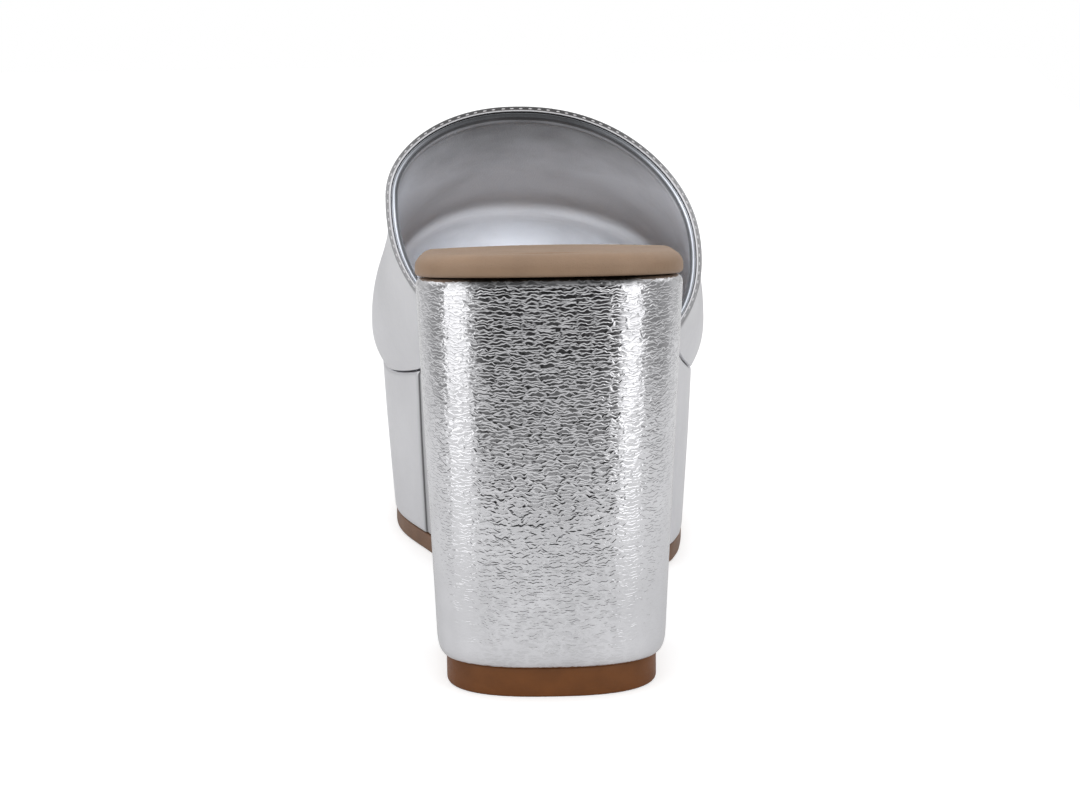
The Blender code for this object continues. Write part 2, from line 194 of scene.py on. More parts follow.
def read(table, columns, station):
    """Named values of a table at a station, on smooth curves through its rows."""
    share = min(max(station / SHOE_LENGTH, table[0][0]), table[-1][0])
    row = max(i for i in range(len(table) - 1) if table[i][0] <= share)
    low, high = table[row], table[row + 1]
    span = high[0] - low[0]
    t = (share - low[0]) / span
    values = {}
    for column, name in enumerate(columns):
        rise = high[column] - low[column]
        start = slope(table, row, column) * span
        end = slope(table, row + 1, column) * span
        bend = (start - rise) * (1 - t) + (rise - end) * t
        values[name] = low[column] + rise * t + t * (1 - t) * bend
    return values


def between(table, place):
    """Second column of a short table at a place in its first, on straight lines."""
    if place <= table[0][0]:
        return table[0][1]
    for low, high in zip(table, table[1:]):
        if place <= high[0]:
            return low[1] + (high[1] - low[1]) * (place - low[0]) / (high[0] - low[0])
    return table[-1][1]


def closing(distance, length, power):
    """Part of the full width left at a distance from a rounded end."""
    share = min(max(distance / length, 0.0), 1.0)
    return (1.0 - (1.0 - share) ** power) ** (1.0 / power)


def corner(distance, radius):
    """How far a side lies in from its straight line near a square end with rounded corners."""
    left = min(max(radius - distance, 0.0), radius)
    return radius - math.sqrt(radius**2 - left**2)


def blend(low, high, share):
    return low + (high - low) * share


def ease(share):
    share = min(max(share, 0.0), 1.0)
    return share * share * (3.0 - 2.0 * share)


def place(x, station, height):
    """A point of the shoe in the frame of the solids."""
    return Vector((AXIS + x, BACK + station, height))


def last_bottom(station):
    """Height of the insole's underside."""
    row = read(PROFILE, PROFILE_COLUMNS, station)
    return BALL_HEIGHT + row["drop"] * (SEAT_HEIGHT - BALL_HEIGHT) + row["rise"] * TOE_RISE


def ground(station):
    """Height of the outsole's underside: flat under the ball, then rising to the toe."""
    share = max(station - SPRING_STATION, 0.0) / (SHOE_LENGTH - SPRING_STATION)
    return TOE_SPRING * share**SPRING_POWER


def outline(station, outset):
    """Inner and outer x of the insole's outline, drawn out by outset, with its rounded toe."""
    row = read(OUTLINE_LENGTHS, OUTLINE_COLUMNS, station)
    middle = (row["inner"] + row["outer"]) / 2.0
    half = (row["outer"] - row["inner"]) / 2.0 + outset
    half *= closing(INSOLE_TIP + outset - station, TOE_ROUND, TOE_POWER)
    return middle - half, middle + half


def seat_outline(station, outset):
    """The same outline with its rounded heel."""
    inner, outer = outline(station, outset)
    middle = (inner + outer) / 2.0
    half = (outer - inner) / 2.0 * closing(station + outset, HEEL_ROUND, HEEL_POWER)
    return middle - half, middle + half


def upper_section(station, inset):
    """Values of the upper's cross section at a station, drawn in by inset."""
    outset = WALL + GAP - inset
    inner, outer = outline(station, outset)
    to_tip = INSOLE_TIP + outset - station
    width_left = closing(to_tip, TOE_ROUND, TOE_POWER)
    height_left = blend(TOE_WALL_SHARE, 1.0, closing(to_tip, TOE_TOP_ROUND, TOE_TOP_POWER))
    row = read(UPPER, UPPER_COLUMNS, station)
    foot = last_bottom(station)
    return {
        "inner": inner,
        "outer": outer,
        "foot": foot,
        "swell_in": row["swell_in"] * BALL_WIDTH * width_left,
        "swell_out": row["swell_out"] * BALL_WIDTH * width_left,
        "level_in": foot + row["level_in"] * INSTEP_RISE * height_left,
        "level_out": foot + row["level_out"] * INSTEP_RISE * height_left,
        "ridge": (inner + outer) / 2.0 + row["ridge"] * BALL_WIDTH * width_left,
        "top": foot + row["rise"] * INSTEP_RISE * height_left - inset,
        "tuck": row["tuck"],
        "forward": TOE_BULGE * math.sqrt(1.0 - width_left**2),
    }


def upper_point(station, inset, way):
    """A point of the upper: way is -2 at the inner foot, 0 at the ridge and 2 at the outer foot."""
    values = upper_section(station, inset)
    side = "in" if way < 0 else "out"
    foot_x = values["inner"] if way < 0 else values["outer"]
    swell = -values["swell_in"] if way < 0 else values["swell_out"]
    level = values["level_" + side]
    if abs(way) >= 1.0:
        down = abs(way) - 1.0
        held = 1.0 - down ** values["tuck"]
        x = foot_x + swell * held
        z = blend(level, values["foot"], down)
    else:
        turn = abs(way) * math.pi / 2.0
        held = 1.0
        x = values["ridge"] + (foot_x + swell - values["ridge"]) * math.sin(turn) ** (2.0 / RIDGE_POWER)
        z = level + (values["top"] - level) * max(math.cos(turn), 0.0) ** (2.0 / RIDGE_POWER)
    return x, station + values["forward"] * held, z


def throat_station(way):
    """Station of the topline: furthest forward at the ridge, and further back down each side."""
    lean = THROAT_LEAN_INNER if way < 0 else THROAT_LEAN_OUTER
    values = upper_section(THROAT_STATION - lean / 2.0, 0.0)
    height = upper_point(THROAT_STATION - lean / 2.0, 0.0, way)[2]
    drop = (values["top"] - height) / (values["top"] - values["foot"])
    return THROAT_STATION - lean * max(drop, 0.0) ** LEAN_POWER


def heel_foot(share, inset):
    """Inner, outer x and station of the heel's outline at its foot."""
    start = HEEL_BACK_FOOT + inset
    end = HEEL_BREAST_FOOT - inset
    station = blend(start, end, share)
    half = HEEL_FOOT_WIDTH / 2.0 - inset
    half *= closing(station - start, HEEL_FOOT_ROUND, HEEL_POWER)
    half -= corner(end - station, HEEL_CORNER)
    return HEEL_FOOT_SIDE - half, HEEL_FOOT_SIDE + half, station


def heel_seat(share, inset):
    """Inner, outer x and station of the heel's outline under the insole."""
    end = HEEL_BREAST_TOP - inset
    station = blend(inset, end, share)
    inner, outer = seat_outline(station, -inset)
    cut = corner(end - station, HEEL_CORNER)
    return inner + cut, outer - cut, station


def breast(height):
    """Station of the heel's front face at a height."""
    share = (height - LIFT_THICKNESS) / (last_bottom(HEEL_BREAST_TOP) - LIFT_THICKNESS)
    return blend(HEEL_BREAST_FOOT, HEEL_BREAST_TOP, share)


def end_stops(reach, power, steps):
    """Distances from a rounded end, spaced evenly round its curve."""
    turns = [math.pi / 2.0 * i / steps for i in range(steps)]
    return [reach * (1.0 - max(math.cos(turn), 0.0) ** (2.0 / power)) for turn in turns]


def stops(length, near, far, middle):
    """Distances along a piece from 0 to its length, closer together at its rounded ends."""
    first = end_stops(*near)
    last = [length - distance for distance in end_stops(*far)][::-1]
    run = length - near[0] - far[0]
    return first + [near[0] + run * i / middle for i in range(middle + 1)] + last


def rounding(radius, rise, steps):
    """Insets and heights of an edge that rounds from flat to upright."""
    turns = [math.pi / 2.0 * i / steps for i in range(steps + 1)]
    return [(radius * (1.0 - math.sin(turn)), rise * (1.0 - math.cos(turn))) for turn in turns]


def side_levels(height, foot, head, steps):
    """Insets and shares of the height up a side with a rounded foot and head.

    The foot and the head are each a radius, a rise and a number of steps.
    """
    low = [(inset, rise / height) for inset, rise in rounding(*foot)]
    high = [(inset, 1.0 - rise / height) for inset, rise in rounding(*head)][::-1]
    side = [(0.0, blend(low[-1][1], high[0][1], i / steps)) for i in range(1, steps)]
    return low + side + high


def sheet(shape, columns, rows, point):
    """Add a grid to a bmesh, move its corners to point(column, row) and return them row by row."""
    made = bmesh.ops.create_grid(shape, x_segments=columns, y_segments=rows, size=1.0)["verts"]
    made.sort(key=lambda corner: (round(corner.co.y, 5), corner.co.x))
    width = columns + 1
    grid = [made[i * width : (i + 1) * width] for i in range(rows + 1)]
    for row, line in enumerate(grid):
        for column, vertex in enumerate(line):
            vertex.co = point(column, row)
    return grid


def merge(shape):
    bmesh.ops.remove_doubles(shape, verts=shape.verts, dist=MERGE_DISTANCE)
    bmesh.ops.dissolve_degenerate(shape, edges=shape.edges, dist=MERGE_DISTANCE)


def open_edges(shape):
    return [edge for edge in shape.edges if edge.is_boundary]


def rounded_block(levels, spots, section):
    """A closed bmesh from cross sections.

    section(spot, level) gives the inner and the outer point of a level at a spot along the piece. The levels
    run from the underside up to the top, and each section goes up one side and down the other.
    """
    shape = bmesh.new()
    count = len(levels)

    def point(column, row):
        column %= 2 * count
        if column < count:
            return section(spots[row], levels[column])[0]
        return section(spots[row], levels[2 * count - 1 - column])[1]

    sheet(shape, 2 * count, len(spots) - 1, point)
    merge(shape)
    gaps = open_edges(shape)
    if gaps:
        bmesh.ops.holes_fill(shape, edges=gaps, sides=0)
    return shape


def keep_run(shape, run):
    """Keep a distance or a tone at every corner of a bmesh, for its material."""
    layer = shape.verts.layers.float.new("run")
    for vertex in shape.verts:
        vertex[layer] = run(vertex.co)


def finished(shape, name, material, node):
    """Make a bmesh a piece of the shoe that stands for a solid."""
    bmesh.ops.recalc_face_normals(shape, faces=shape.faces)
    mesh = bpy.data.meshes.new(name)
    shape.to_mesh(mesh)
    shape.free()
    mesh.shade_smooth()
    mesh.set_sharp_from_angle(angle=SHARP_ANGLE)
    piece = bpy.data.objects.new(name, mesh)
    piece.data.materials.append(material)
    bpy.context.scene.collection.objects.link(piece)
    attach(piece, "root")
    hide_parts(node)
    return piece


def new_material(name, colour, metallic, roughness):
    """A material, its nodes and its shader."""
    material = bpy.data.materials.new(name)
    material.use_nodes = True
    shader = material.node_tree.nodes["Principled BSDF"]
    shader.inputs["Base Color"].default_value = shade(colour, 1.0)
    shader.inputs["Metallic"].default_value = metallic
    shader.inputs["Roughness"].default_value = roughness
    return material, material.node_tree, shader


def add_node(tree, kind, settings=(), values=()):
    """A node with its settings and its unlinked inputs."""
    node = tree.nodes.new(kind)
    for name, value in dict(settings).items():
        setattr(node, name, value)
    for name, value in dict(values).items():
        node.inputs[name].default_value = value
    return node


def coordinates(tree, scale=(1.0, 1.0, 1.0)):
    """Object coordinates, stretched by a scale."""
    source = add_node(tree, "ShaderNodeTexCoord")
    mapping = add_node(tree, "ShaderNodeMapping", values={"Scale": scale})
    tree.links.new(source.outputs["Object"], mapping.inputs["Vector"])
    return mapping.outputs["Vector"]


def noise(tree, vector, scale, detail, distortion=0.0):
    settings = {"Scale": scale, "Detail": detail, "Distortion": distortion}
    made = add_node(tree, "ShaderNodeTexNoise", values=settings)
    tree.links.new(vector, made.inputs["Vector"])
    return made.outputs["Fac"]


def ranged(tree, value, low, high, to_low, to_high):
    """A value moved from one range to another, without going past its ends."""
    limits = {"From Min": low, "From Max": high, "To Min": to_low, "To Max": to_high}
    made = add_node(tree, "ShaderNodeMapRange", {"clamp": True}, limits)
    tree.links.new(value, made.inputs["Value"])
    return made.outputs["Result"]


def maths(tree, operation, first, second):
    """First and second, each a socket or a number, through a math node."""
    made = add_node(tree, "ShaderNodeMath", {"operation": operation})
    for index, source in enumerate((first, second)):
        if isinstance(source, (int, float)):
            made.inputs[index].default_value = source
        else:
            tree.links.new(source, made.inputs[index])
    return made.outputs["Value"]


def mixed(tree, share, low, high):
    """Two colours mixed by a share."""
    made = add_node(tree, "ShaderNodeMix", {"data_type": "RGBA"}, {"A": low, "B": high})
    tree.links.new(share, made.inputs["Factor"])
    return made.outputs["Result"]


def bump(tree, shader, height, distance):
    """Let a height stand out from the surface by a distance."""
    made = add_node(tree, "ShaderNodeBump", values={"Distance": distance, "Strength": 1.0})
    tree.links.new(height, made.inputs["Height"])
    tree.links.new(made.outputs["Normal"], shader.inputs["Normal"])


def ramp(tree, value, low, high, tones):
    """A grey tone at a value between low and high, on straight lines through pairs of value and tone."""
    made = add_node(tree, "ShaderNodeValToRGB")
    for index, (spot, tone) in enumerate(tones):
        if index > 1:
            made.color_ramp.elements.new(1.0)
        element = made.color_ramp.elements[index]
        element.position = (spot - low) / (high - low)
        element.color = (tone, tone, tone, 1.0)
    tree.links.new(ranged(tree, value, low, high, 0.0, 1.0), made.inputs["Fac"])
    return made.outputs["Color"]


def run_of(tree):
    """The distance or the tone that the mesh keeps at its corners."""
    return add_node(tree, "ShaderNodeAttribute", {"attribute_name": "run"}).outputs["Fac"]


def axes_of(tree):
    """X, Y and Z in the frame of the solids."""
    split = add_node(tree, "ShaderNodeSeparateXYZ")
    tree.links.new(coordinates(tree), split.inputs["Vector"])
    return split.outputs


def toned(tree, colour, tone):
    """A colour made darker by a tone."""
    made = add_node(tree, "ShaderNodeVectorMath", {"operation": "SCALE"})
    tree.links.new(colour, made.inputs["Vector"])
    tree.links.new(tone, made.inputs["Scale"])
    return made.outputs["Vector"]


def darkened(tree, colour, share):
    """A colour with a share of its light taken away."""
    return toned(tree, colour, maths(tree, "SUBTRACT", 1.0, share))


def shade(colour, factor):
    return (colour[0] * factor, colour[1] * factor, colour[2] * factor, 1.0)


# Most of a noise's values lie between these
NOISE_LOW = 0.3
NOISE_HIGH = 0.7


def clouded(tree, colour, scale, detail, low, high):
    """A colour in soft clouds between two shades of it."""
    cloud = ranged(tree, noise(tree, coordinates(tree), scale, detail), NOISE_LOW, NOISE_HIGH, 0.0, 1.0)
    return mixed(tree, cloud, shade(colour, low), shade(colour, high))


def roughen(tree, shader, pattern, low, high):
    """Let the roughness follow a pattern."""
    tree.links.new(ranged(tree, pattern, NOISE_LOW, NOISE_HIGH, low, high), shader.inputs["Roughness"])


def warped(tree, vector, scale, reach, stretch):
    """Coordinates pushed about by a soft noise, then stretched."""
    drift = add_node(tree, "ShaderNodeTexNoise", values={"Scale": scale, "Detail": 1.0})
    tree.links.new(vector, drift.inputs["Vector"])
    pushed = add_node(tree, "ShaderNodeVectorMath", {"operation": "MULTIPLY_ADD"})
    tree.links.new(drift.outputs["Color"], pushed.inputs[0])
    pushed.inputs[1].default_value = (reach, reach, reach)
    tree.links.new(vector, pushed.inputs[2])
    mapping = add_node(tree, "ShaderNodeMapping", values={"Scale": stretch})
    tree.links.new(pushed.outputs["Vector"], mapping.inputs["Vector"])
    return mapping.outputs["Vector"]


WRINKLE_SCALE = 1300.0
WRINKLE_RANDOMNESS = 0.72
WRINKLE_LEVEL = (0.20, 0.20, 1.0)
WRINKLE_HEIGHT = 0.000040
# Painted shadow under the insole's edge: how far down the heel it reaches, and the share of light it takes
# away by the distance under the insole
TUCK_SHADOW_REACH = 0.0030
TUCK_SHADOW_TONES = ((0.0, 0.92), (0.0012, 0.85), (0.0024, 0.0))


def wrinkled_silver(name, colour):
    """Foiled leather with thin raised wrinkles that run level and fade towards the foot of the heel.

    The hollows between them carry painted shade and a painted dark reflection, strongest in the upper
    middle, and a painted shadow darkens the tuck under the insole.
    """
    material, tree, shader = new_material(name, colour, 0.98, 0.15)
    plain = coordinates(tree)
    axes = axes_of(tree)
    look = {"Scale": WRINKLE_SCALE, "Randomness": WRINKLE_RANDOMNESS}
    cells = add_node(tree, "ShaderNodeTexVoronoi", {"feature": "DISTANCE_TO_EDGE"}, look)
    tree.links.new(warped(tree, plain, 620.0, 0.0015, WRINKLE_LEVEL), cells.inputs["Vector"])
    ridge = ranged(tree, cells.outputs["Distance"], 0.0, 0.18, 1.0, 0.0)
    pillow = noise(tree, coordinates(tree, (0.25, 0.25, 1.0)), 520.0, 1.0, 0.5)
    fine = noise(tree, plain, 4200.0, 1.0)
    height = maths(tree, "ADD", ridge, maths(tree, "MULTIPLY", pillow, 0.35))
    height = maths(tree, "MULTIPLY", height, ranged(tree, axes["Z"], 0.020, 0.062, 0.50, 1.0))
    height = maths(tree, "ADD", height, maths(tree, "MULTIPLY", fine, 0.05))
    bump(tree, shader, height, WRINKLE_HEIGHT)
    aside = maths(tree, "ABSOLUTE", maths(tree, "SUBTRACT", axes["X"], AXIS), 0.0)
    # Painted shade and painted dark reflection in the hollows: stronger higher up and in the middle of the
    # heel's back
    deep = ranged(tree, axes["Z"], 0.055, 0.085, 0.10, 0.62)
    deep = maths(tree, "MULTIPLY", deep, ranged(tree, aside, 0.014, 0.020, 1.0, 0.25))
    painted_hollow_shade = ranged(tree, cells.outputs["Distance"], 0.05, 0.17, 0.0, 1.0)
    base = clouded(tree, colour, 60.0, 3.0, 0.9725, 1.10)
    base = darkened(tree, base, maths(tree, "MULTIPLY", painted_hollow_shade, deep))
    # Painted shadow under the insole's edge, over the middle of the heel's back
    tuck = ramp(tree, run_of(tree), 0.0, TUCK_SHADOW_REACH, TUCK_SHADOW_TONES)
    tuck = maths(tree, "MULTIPLY", tuck, ranged(tree, aside, 0.018, 0.026, 1.0, 0.0))
    tree.links.new(darkened(tree, base, tuck), shader.inputs["Base Color"])
    roughen(tree, shader, pillow, 0.09, 0.15)
    return material


def smooth_silver(name, colour, grain, tone=None):
    """Foiled leather pulled smooth over the last, with a faint fine grain and, where given, painted shade
    along its edges.
    """
    material, tree, shader = new_material(name, colour, 0.85, 0.36)
    plain = coordinates(tree)
    pebble = noise(tree, coordinates(tree, (0.55, 0.55, 1.0)), 1500.0, 3.0, 0.8)
    fine = noise(tree, plain, 6000.0, 2.0)
    pebble = maths(tree, "MULTIPLY", pebble, grain)
    bump(tree, shader, maths(tree, "ADD", pebble, maths(tree, "MULTIPLY", fine, 0.10)), 0.00003)
    base = clouded(tree, colour, 45.0, 3.0, 0.95, 1.03)
    if tone:
        base = toned(tree, base, tone(tree))
    tree.links.new(base, shader.inputs["Base Color"])
    roughen(tree, shader, noise(tree, plain, 700.0, 2.0), 0.32, 0.42)
    return material


RIM_REACH = 0.010

# Painted shade along the topline, as tones by the distance from it, at the sides and at the top, with dark
# lines in its folds and
# grooves and a darker top: positive on the outside of the leather, negative over its edge and on the inside
LEATHER_SIDE_SHADE_TONES = (
    (-0.0100, 0.20), (-0.0014, 0.20), (-0.0013, 1.0), (-0.0010, 1.0), (-0.0008, 0.45), (0.0006, 0.45),
    (0.0016, 0.70), (0.0034, 1.0), (0.0100, 1.0),
)
LEATHER_TOP_SHADE_TONES = (
    (-0.0100, 0.10), (-0.0014, 0.20), (-0.0013, 1.0), (-0.0011, 0.9), (-0.0009, 0.17), (0.0040, 0.17),
    (0.0100, 1.0),
)
LINING_SIDE_SHADE_TONES = (
    (-0.0100, 0.85), (-0.0036, 0.85), (-0.0026, 0.80), (-0.0018, 0.40), (-0.0012, 0.14), (-0.0009, 0.18),
    (-0.0007, 0.95), (-0.0005, 0.95), (-0.0003, 0.16), (-0.0001, 0.95), (0.0100, 1.0),
)
LINING_TOP_SHADE_TONES = (
    (-0.0100, 0.75), (-0.0054, 0.80), (-0.0036, 1.0), (-0.0026, 0.95), (-0.0018, 0.30), (-0.0004, 0.20),
    (-0.0003, 0.12), (-0.0001, 0.95), (0.0100, 1.0),
)


def rim_painted_shade(tree, side_tones, top_tones):
    """Painted shade that follows the topline, from the tones of its sides to those of its top."""
    run = run_of(tree)
    side = ramp(tree, run, -RIM_REACH, RIM_REACH, side_tones)
    top = ramp(tree, run, -RIM_REACH, RIM_REACH, top_tones)
    share = ranged(tree, axes_of(tree)["Z"], 0.105, 0.121, 0.0, 1.0)
    made = add_node(tree, "ShaderNodeMix", {"data_type": "FLOAT"})
    tree.links.new(share, made.inputs["Factor"])
    tree.links.new(side, made.inputs["A"])
    tree.links.new(top, made.inputs["B"])
    return made.outputs["Result"]


def lining_leather(name, colour):
    """Thin grey lining leather with a fine crushed grain, with painted shade towards its top, painted light
    deep inside and painted shade lines at its edge.
    """
    material, tree, shader = new_material(name, colour, 0.15, 0.50)
    plain = coordinates(tree)
    grain = noise(tree, coordinates(tree, (1.0, 0.45, 0.8)), 1700.0, 4.0, 1.2)
    fine = noise(tree, plain, 5200.0, 2.0)
    bump(tree, shader, maths(tree, "ADD", grain, maths(tree, "MULTIPLY", fine, 0.25)), 0.00010)
    # Painted shade and light: the lining darker towards its top and lighter deep inside
    deep = ranged(tree, axes_of(tree)["Z"], 0.100, 0.122, 1.0, 0.0)
    cloud = ranged(tree, noise(tree, plain, 70.0, 4.0), NOISE_LOW, NOISE_HIGH, -0.12, 0.12)
    base = mixed(tree, maths(tree, "ADD", deep, cloud), shade(colour, 0.22), shade(colour, 1.22))
    # Painted shade lines in the creases of the lining's turned edge and over its top
    tone = rim_painted_shade(tree, LINING_SIDE_SHADE_TONES, LINING_TOP_SHADE_TONES)
    tree.links.new(toned(tree, base, tone), shader.inputs["Base Color"])
    roughen(tree, shader, noise(tree, plain, 900.0, 2.0), 0.44, 0.58)
    return material


def sock_leather(name, colour):
    """Soft tan sock leather with small pores."""
    material, tree, shader = new_material(name, colour, 0.0, 0.50)
    plain = coordinates(tree)
    grain = noise(tree, plain, 2300.0, 4.0, 0.6)
    pores = add_node(tree, "ShaderNodeTexVoronoi", values={"Scale": 1500.0})
    tree.links.new(plain, pores.inputs["Vector"])
    pits = ranged(tree, pores.outputs["Distance"], 0.0, 0.35, 0.0, 1.0)
    bump(tree, shader, maths(tree, "ADD", grain, maths(tree, "MULTIPLY", pits, 0.35)), 0.00010)
    tree.links.new(clouded(tree, colour, 90.0, 4.0, 0.90, 1.10), shader.inputs["Base Color"])
    roughen(tree, shader, grain, 0.42, 0.56)
    return material


def sole_rubber(name, colour):
    """Satin sole rubber with fine mill marks along its sides."""
    material, tree, shader = new_material(name, colour, 0.0, 0.42)
    shader.inputs["Specular IOR Level"].default_value = 0.3
    marks = noise(tree, coordinates(tree, (0.12, 0.12, 1.0)), 3200.0, 3.0)
    speckle = noise(tree, coordinates(tree), 2600.0, 3.0)
    bump(tree, shader, maths(tree, "ADD", marks, maths(tree, "MULTIPLY", speckle, 0.5)), 0.00005)
    tree.links.new(clouded(tree, colour, 160.0, 5.0, 0.86, 1.10), shader.inputs["Base Color"])
    roughen(tree, shader, speckle, 0.36, 0.50)
    return material


def twisted_thread(name, colour):
    """Waxed grey thread with a fine twist."""
    material, tree, shader = new_material(name, colour, 0.2, 0.45)
    twist = noise(tree, coordinates(tree, (1.0, 2.0, 1.0)), 5200.0, 2.0)
    bump(tree, shader, twist, 0.00010)
    base = mixed(tree, twist, shade(colour, 0.80), shade(colour, 1.10))
    tree.links.new(base, shader.inputs["Base Color"])
    return material


def settings():
    return bpy.context.scene.mule_sizes, bpy.context.scene.mule_colours


# Distances from the topline of the first corners of the leather and of the lining
LEATHER_ROWS = (0.0, 0.0009, 0.0018, 0.0030, 0.0045)
LINING_ROWS = (
    0.0, 0.0003, 0.0006, 0.0010, 0.0012, 0.0014, 0.0018, 0.0022, 0.0025, 0.0028, 0.0034, 0.0039, 0.0044,
    0.0054, 0.0065, 0.0085, 0.0115,
)
LAYER_GAP = 0.0001
UPPER_LOWER_STEPS = 14
UPPER_ARCH_STEPS = 34
UPPER_RUN_STEPS = 72


def upper_ways():
    """The ways round a cross section of the upper, from the inner foot to the outer foot."""
    lower = [2.0 - i / UPPER_LOWER_STEPS for i in range(UPPER_LOWER_STEPS)]
    arch = [1.0 - i / UPPER_ARCH_STEPS for i in range(UPPER_ARCH_STEPS)]
    half = lower + arch
    return [-way for way in half] + [0.0] + half[::-1]


def upper_sheet(shape, depth, first_rows, start, edge):
    """Add one skin of the upper.

    depth gives how deep it lies under the outside at a distance from the topline. The inner skin comes
    with the width of the edge that joins it to the outer one, and its distances count back from that.
    """
    ways = upper_ways()
    throats = [throat_station(way) + start for way in ways]
    deepest = depth(SHOE_LENGTH)
    tip = INSOLE_TIP + WALL + GAP - deepest
    last_first = first_rows[-1]

    def behind(column, row):
        if row < len(first_rows):
            return first_rows[row]
        share = (row - len(first_rows) + 1) / UPPER_RUN_STEPS
        return blend(last_first, tip - throats[column], math.sin(share * math.pi / 2.0))

    def point(column, row):
        run = behind(column, row)
        return place(*upper_point(throats[column] + run, depth(run), ways[column]))

    grid = sheet(shape, len(ways) - 1, len(first_rows) + UPPER_RUN_STEPS - 1, point)
    keep = shape.verts.layers.float["run"]
    for row, line in enumerate(grid):
        for column, vertex in enumerate(line):
            run = behind(column, row)
            vertex[keep] = -edge - run if edge else run
    return grid


def upper_shell(outer_depth, inner_depth, first_rows, start, edge_round):
    """A wall between two skins, closed all round, with its edges rounded at the topline."""
    shape = bmesh.new()
    keep = shape.edges.layers.int.new("rim")
    shape.verts.layers.float.new("run")
    outer = upper_sheet(shape, outer_depth, first_rows, start, 0.0)
    inner = upper_sheet(shape, inner_depth, first_rows, start, inner_depth(0.0) - outer_depth(0.0))
    for line in (outer[0], inner[0]):
        for pair in zip(line, line[1:]):
            shape.edges.get(pair)[keep] = 1
    merge(shape)
    bmesh.ops.bridge_loops(shape, edges=open_edges(shape))
    rim_edges = [edge for edge in shape.edges if edge[keep] == 1]
    bmesh.ops.bevel(
        shape,
        geom=rim_edges,
        offset=edge_round,
        offset_type="OFFSET",
        segments=4,
        profile=0.5,
        affect="EDGES",
        clamp_overlap=True,
        material=-1,
    )
    return shape


def length_property(name, description, default):
    return bpy.props.FloatProperty(name=name, description=description, default=default, unit="LENGTH")


class MuleSizes(bpy.types.PropertyGroup):
    """Sizes of what is laid over the solids."""

    leather_thickness: length_property("Leather thickness", "Thickness of the folded leather", 0.00145)
    leather_round: length_property("Fold radius", "Radius of the leather's folded edge", 0.00036)
    lining_setback: length_property("Lining setback", "How far its edge lies behind the leather's", 0.00030)
    lining_round: length_property("Lining edge radius", "Radius of the lining's turned edge", 0.00034)
    stitch_pitch: length_property("Stitch pitch", "Distance from one stitch to the next", 0.00235)
    stitch_length: length_property("Stitch length", "Length of one stitch", 0.00100)
    stitch_thickness: length_property("Thread thickness", "Thickness of the thread", 0.00036)
    stitch_drop: length_property("Stitch drop", "How deep under the outside the stitches lie", 0.00065)
    seam_station: length_property("Wrap seam", "Station of the wrap's seam on the inner side", 0.1267)
    seam_lean: length_property("Seam lean", "How much further forward the seam stands at its foot", 0.0033)
    seam_depth: length_property("Seam depth", "Depth of the wrap's seam", 0.0010)
    tread_pitch: length_property("Tread pitch", "Distance from one tread groove to the next", 0.0009)
    tread_depth: length_property("Tread depth", "Depth of the tread grooves", 0.0006)


def colour_property(name, description, default):
    return bpy.props.FloatVectorProperty(
        name=name, description=description, default=default, size=3, subtype="COLOR", min=0.0, max=1.0
    )


class MuleColours(bpy.types.PropertyGroup):
    """Colours of the shoe's materials."""

    silver: colour_property("Silver", "Foil of the silver leather", (0.80, 0.80, 0.825))
    lining: colour_property("Lining", "Leather inside the upper", (0.63, 0.665, 0.73))
    thread: colour_property("Thread", "Thread of the topline", (0.76, 0.76, 0.78))
    sock: colour_property("Sock", "Leather over the insole", (0.315, 0.205, 0.130))
    lift: colour_property("Top lift", "Rubber under the heel", (0.163, 0.056, 0.013))
    sole: colour_property("Outsole", "Rubber under the platform", (0.185, 0.098, 0.055))
    floor: colour_property("Floor", "Floor under the shoe", (0.68, 0.68, 0.68))


class MULE_OT_upper(bpy.types.Operator):
    """Build the upper's silver leather, with its folded topline."""

    bl_idname = "mule.upper"
    bl_label = "Upper leather"

    def execute(self, context):
        sizes, colours = settings()
        shape = upper_shell(
            lambda behind: 0.0,
            lambda behind: sizes.leather_thickness,
            LEATHER_ROWS,
            0.0,
            sizes.leather_round,
        )
        # The leather's topline carries painted shade in its folds and over its top
        material = smooth_silver(
            "upper_silver",
            colours.silver,
            0.55,
            lambda tree: rim_painted_shade(tree, LEATHER_SIDE_SHADE_TONES, LEATHER_TOP_SHADE_TONES),
        )
        finished(shape, "upper_leather", material, "upper")
        return {"FINISHED"}


class MULE_OT_lining(bpy.types.Operator):
    """Build the lining, with its turned edge and the step of its edge tape."""

    bl_idname = "mule.lining"
    bl_label = "Lining"

    def execute(self, context):
        sizes, colours = settings()
        outer = sizes.leather_thickness + LAYER_GAP
        shape = upper_shell(
            lambda behind: outer,
            lambda behind: between(LINING_RELIEF, behind),
            LINING_ROWS,
            sizes.lining_setback,
            sizes.lining_round,
        )
        material = lining_leather("lining_grey", colours.lining)
        piece = finished(shape, "upper_lining", material, "upper")
        bpy.data.collections[LIT_INSIDE].objects.link(piece)
        return {"FINISHED"}


STITCH_STEPS = 900
STITCH_END = 1.93
STITCH_FLATNESS = 2.6
STITCH_LIFT = 0.12


